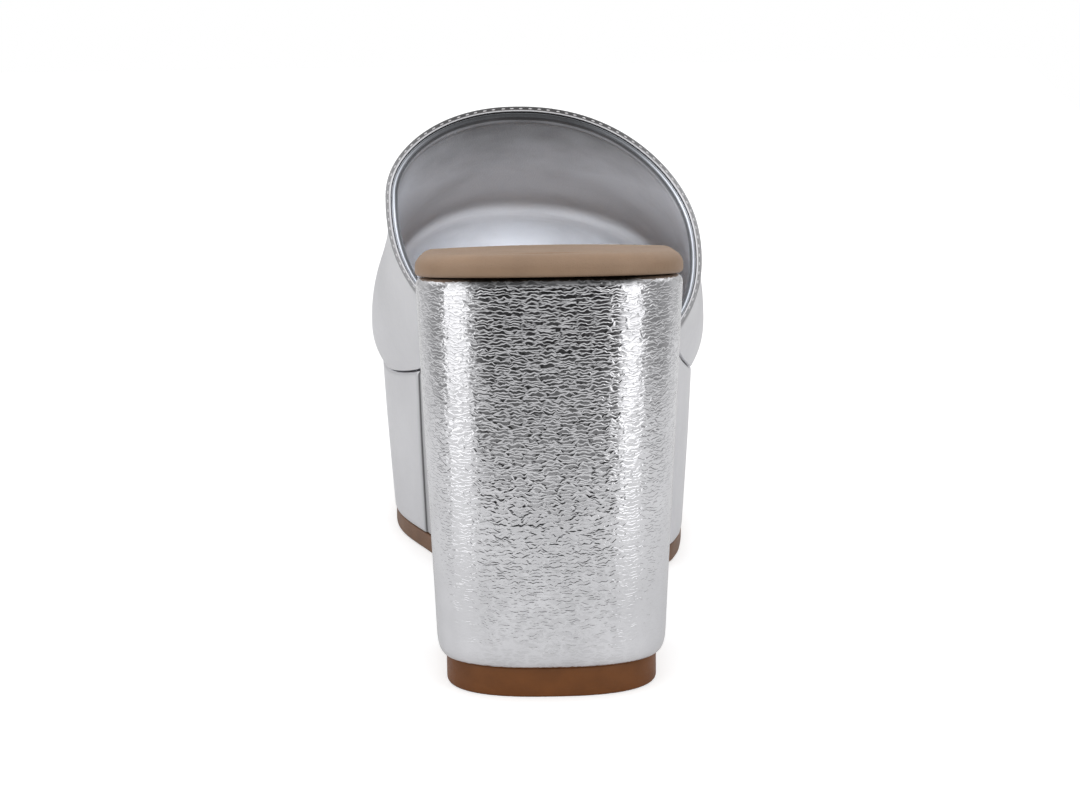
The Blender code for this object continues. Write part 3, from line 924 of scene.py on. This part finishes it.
class MULE_OT_stitches(bpy.types.Operator):
    """Build the row of stitches that follows the topline."""

    bl_idname = "mule.stitches"
    bl_label = "Topline stitches"

    def execute(self, context):
        sizes, colours = settings()
        ways = [blend(-STITCH_END, STITCH_END, i / STITCH_STEPS) for i in range(STITCH_STEPS + 1)]
        path = [place(*upper_point(throat_station(way), sizes.stitch_drop, way)) for way in ways]
        half_length = sizes.stitch_length / 2.0
        half_width = sizes.stitch_thickness / 2.0
        half_height = sizes.stitch_thickness / STITCH_FLATNESS
        size = Matrix.Diagonal((half_length, half_width, half_height, 1.0))
        shape = bmesh.new()
        walked = 0.0
        wanted = sizes.stitch_pitch / 2.0
        for here, ahead in zip(path, path[1:]):
            walked += (ahead - here).length
            if walked < wanted:
                continue
            wanted += sizes.stitch_pitch
            along = (ahead - here).normalized()
            outward = Vector((0.0, -1.0, 0.0))
            outward = (outward - along * outward.dot(along)).normalized()
            across = along.cross(outward)
            turn = Matrix((along, across, outward)).transposed().to_4x4()
            spot = Matrix.Translation(ahead + outward * sizes.stitch_thickness * STITCH_LIFT)
            bmesh.ops.create_icosphere(shape, subdivisions=2, radius=1.0, matrix=spot @ turn @ size)
        material = twisted_thread("thread_grey", colours.thread)
        finished(shape, "topline_stitches", material, "upper")
        return {"FINISHED"}


def lap(distance, radius):
    """How far the wrap's rolled end lies in at a distance from its edge."""
    if distance >= radius:
        return 0.0
    return radius - math.sqrt(max(radius**2 - (radius - distance) ** 2, 0.0))


# The wrap's seam, by the distance ahead of it: the groove, the rolled end ahead and the layer behind
GROOVE_FRONT = 0.0002
GROOVE_BACK = -0.0003
ROLL_RADIUS = 0.0009
LAYER_DEPTH = 0.0005
LAYER_SLOPE = 0.0004
LAYER_FADE = (-0.0012, 0.007)
SEAM_ROWS = (
    -0.0016, -0.0009, -0.0007, -0.0005, -0.00031, -0.0003, 0.00019, 0.0002, 0.00028, 0.0004, 0.0006, 0.0008,
    0.0011, 0.0016,
)
SEAM_CLEARANCE = 0.0008
SEAM_WINDOW = 0.014
# Painted shade by the distance ahead of the seam: dark in its groove, and darker on the layer behind it
SEAM_SHADE_TONES = (
    (-0.0100, 1.0), (-0.0040, 0.85), (-0.0012, 0.70), (-0.0006, 0.12), (0.0002, 0.08), (0.0004, 0.80),
    (0.0009, 1.0),
)


def seam_relief(station, sizes):
    """How far the inner side of the platform lies in near the wrap's seam."""
    ahead = station - sizes.seam_station
    if ahead >= GROOVE_FRONT:
        return lap(ahead - GROOVE_FRONT, ROLL_RADIUS)
    if ahead >= GROOVE_BACK:
        return sizes.seam_depth
    under = blend(sizes.seam_depth, LAYER_DEPTH, ease((GROOVE_BACK - ahead) / LAYER_SLOPE))
    return under * (1.0 - ease((LAYER_FADE[0] - ahead) / LAYER_FADE[1]))


def seam_shift(nominal, share, sizes):
    """How far the platform's rows lean forward near the seam, at a share of the height."""
    near = 1.0 - ease(abs(nominal - sizes.seam_station) / SEAM_WINDOW)
    return sizes.seam_lean * (1.0 - share) * near


def seam_painted_shade(co, sizes):
    """Painted shade at a corner of the platform: dark in the seam's groove, and darker on the layer behind
    it.
    """
    if co.x > AXIS:
        return 1.0
    station = co.y - BACK
    share = (co.z - OUTSOLE_THICKNESS) / (last_bottom(station) - GAP - OUTSOLE_THICKNESS)
    return between(SEAM_SHADE_TONES, station - sizes.seam_station - sizes.seam_lean * (1.0 - share))


def platform_rows(sizes):
    """Stations of the platform's cross sections, closer together at its ends and at the wrap's seam."""
    tip = INSOLE_TIP + WALL + GAP
    start = PLATFORM_REAR - PLATFORM_TAPER
    distances = stops(tip - start, (PLATFORM_CORNER, 2.0, 12), (TOE_ROUND, TOE_POWER, 34), 44)
    near = [sizes.seam_station + distance for distance in SEAM_ROWS]
    first = near[0] - SEAM_CLEARANCE
    last = near[-1] + SEAM_CLEARANCE
    far = [start + distance for distance in distances if not first < start + distance < last]
    return sorted(far + near)


CORNER_REACH = 0.012
TIP_REACH = 0.05


def platform_block(levels, bottom, top, sizes, seam, setback, corner_start):
    """A solid that follows the platform's outline between two heights.

    levels are pairs of an inset and a share of the height between bottom and top.
    """
    tip = INSOLE_TIP + WALL + GAP
    start = PLATFORM_REAR - PLATFORM_TAPER

    def section(nominal, level):
        inset, share = level
        outset = WALL + GAP - setback(share) - inset
        first = corner_start(share) + inset
        station = nominal + (first - start) * max(0.0, 1.0 - (nominal - start) / CORNER_REACH)
        station -= (tip - (INSOLE_TIP + outset)) * ease((nominal - tip + TIP_REACH) / TIP_REACH)
        if seam:
            station += seam_shift(nominal, share, sizes)
        inner, outer = outline(station, outset)
        cut = corner(station - first, PLATFORM_CORNER)
        inner += cut + (seam_relief(nominal, sizes) if seam else 0.0)
        outer -= cut
        height = blend(bottom(station), top(station), share)
        if inner > outer:
            inner = outer = (inner + outer) / 2.0
        return place(inner, station, height), place(outer, station, height)

    return rounded_block(levels, platform_rows(sizes), section)


class MULE_OT_platform(bpy.types.Operator):
    """Build the wrapped platform, with the rolled seam of its wrap on the inner side."""

    bl_idname = "mule.platform"
    bl_label = "Platform wrap"

    def execute(self, context):
        sizes, colours = settings()
        shape = platform_block(
            side_levels(BALL_HEIGHT - OUTSOLE_THICKNESS, (0.0007, 0.0007, 4), (0.0013, 0.0013, 7), 26),
            lambda station: ground(station) + OUTSOLE_THICKNESS,
            lambda station: last_bottom(station) - GAP,
            sizes,
            True,
            lambda share: between(PLATFORM_SIDE, share) * PLATFORM_TAPER,
            lambda share: PLATFORM_REAR - share * PLATFORM_TAPER,
        )
        # The platform keeps the painted shade of its seam at its corners
        keep_run(shape, lambda co: seam_painted_shade(co, sizes))
        material = smooth_silver("platform_silver", colours.silver, 0.60, run_of)
        finished(shape, "platform_wrap", material, "platform")
        return {"FINISHED"}


WAIST_SECTIONS = 70
WAIST_SINK_REACH = 0.0048


class MULE_OT_waist(bpy.types.Operator):
    """Build the covered waist between the heel and the platform."""

    bl_idname = "mule.waist"
    bl_label = "Waist cover"

    def execute(self, context):
        colours = settings()[1]
        inside = PLATFORM_REAR + PLATFORM_CORNER
        depths = [(inset, WAIST_THICKNESS - rise) for inset, rise in rounding(0.0012, 0.0012, 6)]
        depths += [(0.0, WAIST_THICKNESS * share) for share in (0.65, 0.5, 0.35)]
        depths += [(inset, rise) for inset, rise in rounding(0.0006, 0.0006, 4)][::-1]
        def section(index, level):
            inset, depth = level
            first = breast(last_bottom(HEEL_BREAST_TOP) - depth) + GAP
            station = blend(first, inside + WAIST_REACH * 0.5, index / WAIST_SECTIONS)
            reach = THROAT_STATION - THROAT_LEAN_INNER - HEEL_BREAST_TOP
            under_upper = ease((station - HEEL_BREAST_TOP) / reach)
            inner, outer = outline(station, (WALL + GAP) * under_upper - inset)
            sink = WAIST_SINK * ease((station - PLATFORM_REAR) / WAIST_SINK_REACH)
            height = last_bottom(station) - GAP - depth - sink
            return place(inner + sink, station, height), place(outer - sink, station, height)

        shape = rounded_block(depths, range(WAIST_SECTIONS + 1), section)
        material = smooth_silver("waist_silver", colours.silver, 0.60)
        finished(shape, "waist_cover", material, "platform")
        return {"FINISHED"}


class MULE_OT_heel(bpy.types.Operator):
    """Build the wrapped block heel."""

    bl_idname = "mule.heel"
    bl_label = "Heel wrap"

    def execute(self, context):
        colours = settings()[1]
        tall = SEAT_HEIGHT - LIFT_THICKNESS
        levels = side_levels(tall, (HEEL_TUCK, HEEL_TUCK_RISE, 8), (0.0016, 0.0022, 8), 30)
        length = HEEL_BREAST_TOP
        distances = stops(length, (HEEL_ROUND, HEEL_POWER, 44), (HEEL_CORNER, 2.0, 10), 18)

        def section(distance, level):
            inset, share = level
            low = heel_foot(distance / length, inset)
            high = heel_seat(distance / length, inset)
            inner, outer, station = (blend(a, b, share) for a, b in zip(low, high))
            height = blend(LIFT_THICKNESS, last_bottom(high[2]) - GAP, share)
            return place(inner, station, height), place(outer, station, height)

        shape = rounded_block(levels, distances, section)
        # Distance under the insole at each corner, for the painted shadow under its edge
        keep_run(shape, lambda co: last_bottom(co.y - BACK) - GAP - co.z)
        material = wrinkled_silver("heel_silver", colours.silver)
        finished(shape, "heel_wrap", material, "heel")
        return {"FINISHED"}


SOCK_CROWN = 0.0006
SOCK_CROWN_REACH = 0.020


class MULE_OT_insole(bpy.types.Operator):
    """Build the padded sock."""

    bl_idname = "mule.insole"
    bl_label = "Padded sock"

    def execute(self, context):
        colours = settings()[1]
        foot = [(inset, rise, 1.0) for inset, rise in rounding(0.0010, 0.0010, 5)]
        edge = rounding(INSOLE_TOP_ROUND, INSOLE_TOP_ROUND, 9)
        head = [(inset, INSOLE_THICKNESS - rise, 1.0) for inset, rise in edge][::-1]
        across = [(INSOLE_TOP_ROUND, INSOLE_THICKNESS, 1.0 - i / 12) for i in range(1, 13)]
        levels = foot + head + across

        def section(distance, level):
            inset, lift, reach = level
            station = blend(inset, INSOLE_TIP - inset, distance / INSOLE_TIP)
            inner, outer = seat_outline(station, -inset)
            middle = (inner + outer) / 2.0
            half = (outer - inner) / 2.0
            swell = SOCK_CROWN * (1.0 - reach**2) * min(half / SOCK_CROWN_REACH, 1.0)
            height = last_bottom(station) + lift + swell
            inner, outer = middle - half * reach, middle + half * reach
            return place(inner, station, height), place(outer, station, height)

        distances = stops(INSOLE_TIP, (HEEL_ROUND, HEEL_POWER, 34), (TOE_ROUND, TOE_POWER, 26), 50)
        shape = rounded_block(levels, distances, section)
        material = sock_leather("sock_tan", colours.sock)
        piece = finished(shape, "insole_sock", material, "insole")
        return {"FINISHED"}


# Shares of the pitch at a groove's start, its deepest line and its end
TREAD_PARTS = (0.0, 0.30, 0.60)
TREAD_ALONG = Vector((0.0, 1.0, 0.0))
TREAD_CEILING = 0.0003
CUT_DISTANCE = 0.000001


def cut_treads(shape, first, last, pitch, depth):
    """Cut grooves across the lowest faces of a bmesh, from one place along the shoe to another."""
    count = int((last - first) / pitch)
    for index in range(count + 1):
        for part in TREAD_PARTS:
            spot = TREAD_ALONG * (first + pitch * (index + part))
            geometry = shape.verts[:] + shape.edges[:] + shape.faces[:]
            bmesh.ops.bisect_plane(
                shape, geom=geometry, dist=CUT_DISTANCE, plane_co=spot, plane_no=TREAD_ALONG
            )
    for vertex in shape.verts:
        step = (vertex.co.y - first) / pitch
        cut = -0.1 < step < count + 0.9 and abs(step % 1.0 - TREAD_PARTS[1]) < 0.02
        if cut and vertex.co.z < TREAD_CEILING:
            vertex.co.z += depth


class MULE_OT_top_lift(bpy.types.Operator):
    """Build the top lift, with fine tread grooves that show along its lower edge."""

    bl_idname = "mule.top_lift"
    bl_label = "Top lift"

    def execute(self, context):
        sizes, colours = settings()
        tall = LIFT_THICKNESS - GAP
        levels = side_levels(tall, (0.0005, 0.0005, 4), (0.0004, 0.0004, 3), 5)
        length = HEEL_BREAST_FOOT - HEEL_BACK_FOOT
        distances = stops(length, (HEEL_FOOT_ROUND, HEEL_POWER, 36), (HEEL_CORNER, 2.0, 8), 10)

        def section(distance, level):
            inset, share = level
            inner, outer, station = heel_foot(distance / length, LIFT_SETBACK + inset)
            return place(inner, station, tall * share), place(outer, station, tall * share)

        shape = rounded_block(levels, distances, section)
        first = BACK + HEEL_BACK_FOOT
        last = BACK + HEEL_BREAST_FOOT
        cut_treads(shape, first, last, sizes.tread_pitch, sizes.tread_depth)
        material = sole_rubber("lift_brown", colours.lift)
        finished(shape, "top_lift_rubber", material, "top_lift")
        return {"FINISHED"}


class MULE_OT_outsole(bpy.types.Operator):
    """Build the outsole under the platform."""

    bl_idname = "mule.outsole"
    bl_label = "Outsole"

    def execute(self, context):
        sizes, colours = settings()
        shape = platform_block(
            side_levels(OUTSOLE_THICKNESS, (0.0008, 0.0008, 4), (0.0004, 0.0004, 3), 4),
            ground,
            lambda station: ground(station) + OUTSOLE_THICKNESS - GAP,
            sizes,
            False,
            lambda share: PLATFORM_TAPER + OUTSOLE_SETBACK,
            lambda share: PLATFORM_REAR + OUTSOLE_SETBACK,
        )
        material = sole_rubber("outsole_brown", colours.sole)
        finished(shape, "outsole_rubber", material, "outsole")
        return {"FINISHED"}


def area_light(name, spot, aim, width, height, power, spread, receivers):
    """A soft rectangular lamp that points at a place, and lights one collection only if it is named."""
    lamp = bpy.data.lights.new(name, "AREA")
    lamp.shape = "RECTANGLE"
    lamp.size = width
    lamp.size_y = height
    lamp.energy = power
    lamp.spread = math.radians(spread)
    holder = bpy.data.objects.new(name, lamp)
    holder.location = spot
    direction = Vector(aim) - Vector(spot)
    holder.rotation_euler = direction.to_track_quat("-Z", "Y").to_euler()
    if receivers:
        holder.visible_glossy = False
        known = bpy.data.collections.get(receivers)
        holder.light_linking.receiver_collection = known or bpy.data.collections.new(receivers)
    bpy.context.scene.collection.objects.link(holder)


# Direction of the dark part of the room, and the room's brightness from the far side to the dark side
DARK_SIDE = (-0.02, -0.985, -0.17)
ROOM_TONES = ((-0.56, 0.52), (0.0, 0.26), (0.74, 0.34), (0.87, 0.012))
CEILING_TONE = 1.05
HAZE_TONE = 0.50
BROW_LOW = -0.08
BROW_HIGH = 0.10
BROW_TONE = 0.80

# Lamps: place, what they point at, width, height, power, spread and the collection that they light alone
LIT_INSIDE = "lit_inside"
LIGHTS = (
    ("light_left", (-1.21, -0.66, 0.26), (0.0, -0.12, 0.06), 0.80, 1.7, 4.4, 180.0, None),
    ("light_right", (1.00, -0.99, 0.26), (0.0, -0.12, 0.06), 0.62, 1.7, 3.8, 180.0, None),
    ("light_behind", (-0.03, -1.10, 0.26), (0.0, 0.03, 0.09), 0.40, 0.12, 11.5, 180.0, LIT_INSIDE),
    ("light_within", (-0.003, 0.032, 0.064), (-0.003, 0.12, 0.070), 0.06, 0.018, 0.013, 76.0, LIT_INSIDE),
)


def studio_world():
    """White where the camera looks past the floor, and a grey room for the light, dark behind the camera."""
    world = bpy.data.worlds.new("studio")
    world.use_nodes = True
    tree = world.node_tree
    tree.nodes.clear()
    output = add_node(tree, "ShaderNodeOutputWorld")
    seen = add_node(tree, "ShaderNodeBackground", values={"Color": (1.0, 1.0, 1.0, 1.0), "Strength": 1.0})
    room = add_node(tree, "ShaderNodeBackground", values={"Strength": 1.0})
    direction = add_node(tree, "ShaderNodeTexCoord")
    split = add_node(tree, "ShaderNodeSeparateXYZ")
    tree.links.new(direction.outputs["Generated"], split.inputs["Vector"])
    facing = add_node(tree, "ShaderNodeVectorMath", {"operation": "DOT_PRODUCT"})
    facing.inputs[1].default_value = DARK_SIDE
    tree.links.new(direction.outputs["Generated"], facing.inputs[0])
    room_tone = ramp(tree, facing.outputs["Value"], -1.0, 1.0, ROOM_TONES)
    brow = ranged(tree, split.outputs["Z"], BROW_LOW, BROW_HIGH, 0.0, BROW_TONE)
    brow = maths(tree, "MINIMUM", brow, ranged(tree, facing.outputs["Value"], 0.3, 0.7, 0.0, BROW_TONE))
    ceiling = ranged(tree, split.outputs["Z"], 0.10, 0.40, 0.0, CEILING_TONE)
    haze = ranged(tree, split.outputs["Z"], -0.280, -0.328, 0.0, HAZE_TONE)
    lit = add_node(tree, "ShaderNodeVectorMath", {"operation": "MAXIMUM"})
    tree.links.new(room_tone, lit.inputs[0])
    tree.links.new(maths(tree, "MAXIMUM", brow, maths(tree, "MAXIMUM", ceiling, haze)), lit.inputs[1])
    tree.links.new(lit.outputs["Vector"], room.inputs["Color"])
    path = add_node(tree, "ShaderNodeLightPath")
    mix = add_node(tree, "ShaderNodeMixShader")
    tree.links.new(path.outputs["Is Camera Ray"], mix.inputs[0])
    tree.links.new(room.outputs["Background"], mix.inputs[1])
    tree.links.new(seen.outputs["Background"], mix.inputs[2])
    tree.links.new(mix.outputs["Shader"], output.inputs["Surface"])
    bpy.context.scene.world = world


# Camera in the frame of the heel's axis and back: distances, turns in degrees and focal length in pixels
CAMERA_BEHIND = 0.7786
CAMERA_HEIGHT = 0.2667
CAMERA_SIDE = 0.0029
CAMERA_PITCH = math.radians(14.0)
CAMERA_YAW = math.radians(1.0)
CAMERA_ROLL = math.radians(0.7)
CAMERA_FOCAL = 3480.0
IMAGE_WIDTH = 1080.0
SENSOR_WIDTH = 36.0


def add_camera():
    """Put the camera where the photograph was taken from."""
    right = Vector((math.cos(CAMERA_YAW), -math.sin(CAMERA_YAW), 0.0))
    level = Vector((math.sin(CAMERA_YAW), math.cos(CAMERA_YAW), 0.0))
    up = Vector((0.0, 0.0, 1.0))
    spot = Vector((AXIS, BACK, CAMERA_HEIGHT)) - level * CAMERA_BEHIND - right * CAMERA_SIDE
    ahead = level * math.cos(CAMERA_PITCH) - up * math.sin(CAMERA_PITCH)
    over = level * math.sin(CAMERA_PITCH) + up * math.cos(CAMERA_PITCH)
    image_right = right * math.cos(CAMERA_ROLL) - over * math.sin(CAMERA_ROLL)
    image_up = right * math.sin(CAMERA_ROLL) + over * math.cos(CAMERA_ROLL)
    camera = bpy.data.cameras.new("camera")
    camera.sensor_width = SENSOR_WIDTH
    camera.lens = SENSOR_WIDTH * CAMERA_FOCAL / IMAGE_WIDTH
    camera.clip_start = 0.01
    camera.clip_end = 20.0
    holder = bpy.data.objects.new("camera", camera)
    turn = Matrix((image_right, image_up, -ahead)).transposed().to_4x4()
    holder.matrix_world = Matrix.Translation(spot) @ turn
    bpy.context.scene.collection.objects.link(holder)
    bpy.context.scene.camera = holder


FLOOR_REAR = -0.26
FLOOR_FRONT = 0.90
FLOOR_SIDE = 0.27
FLOOR_GLOW = 0.50


class MULE_OT_stage(bpy.types.Operator):
    """Build the floor, the lights and the camera."""

    bl_idname = "mule.stage"
    bl_label = "Stage"

    def execute(self, context):
        colours = settings()[1]
        shape = bmesh.new()
        bmesh.ops.create_grid(shape, x_segments=1, y_segments=1, size=1.0)
        for vertex in shape.verts:
            vertex.co.x *= FLOOR_SIDE
            vertex.co.y = FLOOR_REAR if vertex.co.y < 0.0 else FLOOR_FRONT
        mesh = bpy.data.meshes.new("floor")
        shape.to_mesh(mesh)
        shape.free()
        floor = bpy.data.objects.new("floor", mesh)
        material, tree, shader = new_material("floor_pale", colours.floor, 0.0, 0.7)
        shader.inputs["Emission Color"].default_value = (1.0, 1.0, 1.0, 1.0)
        seen = add_node(tree, "ShaderNodeLightPath").outputs["Is Camera Ray"]
        tree.links.new(maths(tree, "MULTIPLY", seen, FLOOR_GLOW), shader.inputs["Emission Strength"])
        floor.data.materials.append(material)
        bpy.context.scene.collection.objects.link(floor)
        for lamp in LIGHTS:
            area_light(*lamp)
        studio_world()
        add_camera()
        bpy.context.scene.view_settings.view_transform = "Standard"
        return {"FINISHED"}


OPERATORS = (
    MULE_OT_stage,
    MULE_OT_upper,
    MULE_OT_lining,
    MULE_OT_stitches,
    MULE_OT_platform,
    MULE_OT_waist,
    MULE_OT_heel,
    MULE_OT_insole,
    MULE_OT_top_lift,
    MULE_OT_outsole,
)


class MULE_PT_panel(bpy.types.Panel):
    """The shoe's sizes, colours and operators."""

    bl_label = "Platform mule"
    bl_idname = "MULE_PT_panel"
    bl_space_type = "VIEW_3D"
    bl_region_type = "UI"
    bl_category = "Mule"

    def draw(self, context):
        layout = self.layout
        for group in settings():
            for name in group.__annotations__:
                layout.prop(group, name)
        for operator in OPERATORS:
            layout.operator(operator.bl_idname)


CLASSES = (MuleSizes, MuleColours) + OPERATORS + (MULE_PT_panel,)


def register():
    for kind in CLASSES:
        bpy.utils.register_class(kind)
    bpy.types.Scene.mule_sizes = bpy.props.PointerProperty(type=MuleSizes)
    bpy.types.Scene.mule_colours = bpy.props.PointerProperty(type=MuleColours)


def unregister():
    del bpy.types.Scene.mule_colours
    del bpy.types.Scene.mule_sizes
    for kind in reversed(CLASSES):
        bpy.utils.unregister_class(kind)


def main():
    """Register the classes and build every piece."""
    register()
    bpy.ops.mule.stage()
    bpy.ops.mule.upper()
    bpy.ops.mule.lining()
    bpy.ops.mule.stitches()
    bpy.ops.mule.platform()
    bpy.ops.mule.waist()
    bpy.ops.mule.heel()
    bpy.ops.mule.insole()
    bpy.ops.mule.top_lift()
    bpy.ops.mule.outsole()


if __name__ == "__main__":
    main()
